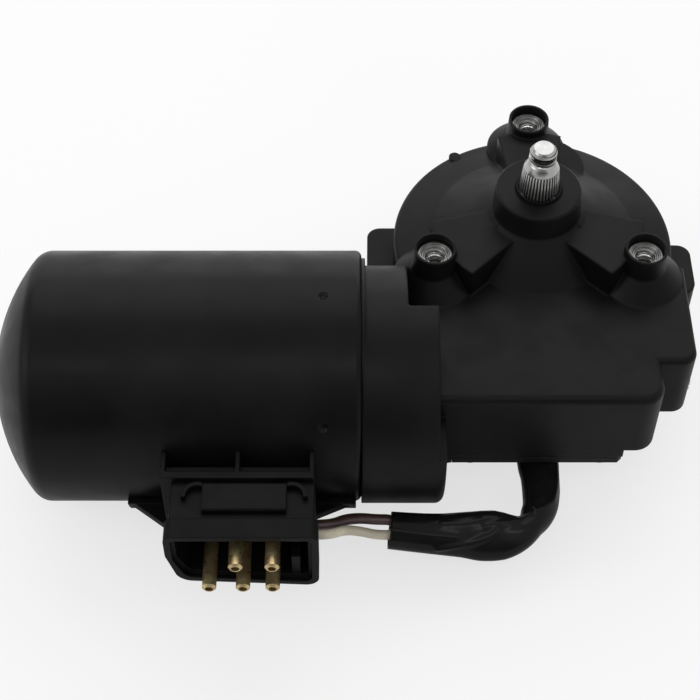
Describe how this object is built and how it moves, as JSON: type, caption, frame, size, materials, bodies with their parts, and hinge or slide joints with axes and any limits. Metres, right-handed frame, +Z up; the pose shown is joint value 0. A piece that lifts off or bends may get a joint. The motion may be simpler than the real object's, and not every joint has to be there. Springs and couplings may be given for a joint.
{
  "type": "wiper motor",
  "caption": "Electric wiper motor: drum-shaped worm gearbox with a tapered output spindle, a cylindrical motor can across it, and a round-pin socket carried on the can.",
  "frame": {"origin": "Centre of the three mounting bosses, on the plane of their faces; the output spindle's axis passes through it.", "axes": "+Z runs up the output spindle, away from the mounting face. +X runs along the armature, away from the motor can. -Y is the side with the worm case, the socket and the cable."},
  "size_m": [0.2058, 0.157, 0.0872],
  "materials": {
    "bright_steel": "satin",
    "bronze": "satin",
    "brown_plastic": "satin",
    "carbon": "matt",
    "connector_plastic": "satin",
    "contact_brass": "satin",
    "copper_wire": "gloss",
    "cover_plastic": "matt",
    "ferrite": "matt",
    "lamination_steel": "satin",
    "olive_plastic": "satin",
    "painted_can": "satin",
    "painted_casting": "satin",
    "plate_plastic": "matt",
    "rubber_black": "matt",
    "sleeve_plastic": "gloss",
    "wheel_plastic": "satin",
    "white_plastic": "satin",
    "zinc_steel": "satin"
  },
  "bodies": {
    "housing": {"gear_housing": "painted_casting", "gear_cover": "cover_plastic", "cover_gasket": "rubber_black", "cover_screws": "zinc_steel", "output_bush_upper": "bronze", "output_bush_lower": "bronze", "shaft_seal": "rubber_black", "contact_carrier": "plate_plastic", "contact_fingers": "contact_brass", "motor_can": "painted_can", "magnets": "ferrite", "magnet_clips": "bright_steel", "front_bearing": "bronze", "worm_end_bearing": "bronze", "rear_bearing": "bronze", "rear_bearing_retainer": "zinc_steel", "brush_plate": "plate_plastic", "brushes": "carbon", "brush_holders": "contact_brass", "brush_springs": "bright_steel", "suppression_chokes": "ferrite", "thrust_screw": "zinc_steel", "thrust_pad": "bright_steel", "connector_housing": "connector_plastic", "connector_pins": "contact_brass", "connector_latch": "connector_plastic", "latch_hooks": "connector_plastic", "connector_carrier": "connector_plastic", "cable_grommet": "rubber_black", "cable_sleeve": "sleeve_plastic", "brown_lead": "brown_plastic", "white_lead": "white_plastic", "olive_lead": "olive_plastic"},
    "armature": {"armature_shaft": "bright_steel", "armature_core": "lamination_steel", "armature_windings": "copper_wire", "commutator": "copper_wire"},
    "output": {"output_shaft": "bright_steel", "worm_wheel": "wheel_plastic", "park_disc": "contact_brass", "retaining_ring": "bright_steel", "thrust_washer": "bright_steel"}
  },
  "joints": [
    {"name": "armature_spin", "type": "hinge", "parent": "housing", "child": "armature", "pos_m": [0, -0.042, -0.028], "axis": [1, 0, 0], "continuous": true},
    {"name": "output_spin", "type": "hinge", "parent": "housing", "child": "output", "pos_m": [0, 0, 0], "axis": [0, 0, 1], "continuous": true}
  ],
  "couplings": [
    {"joint": "output_spin", "follows": "armature_spin", "ratio": -0.020833}
  ]
}
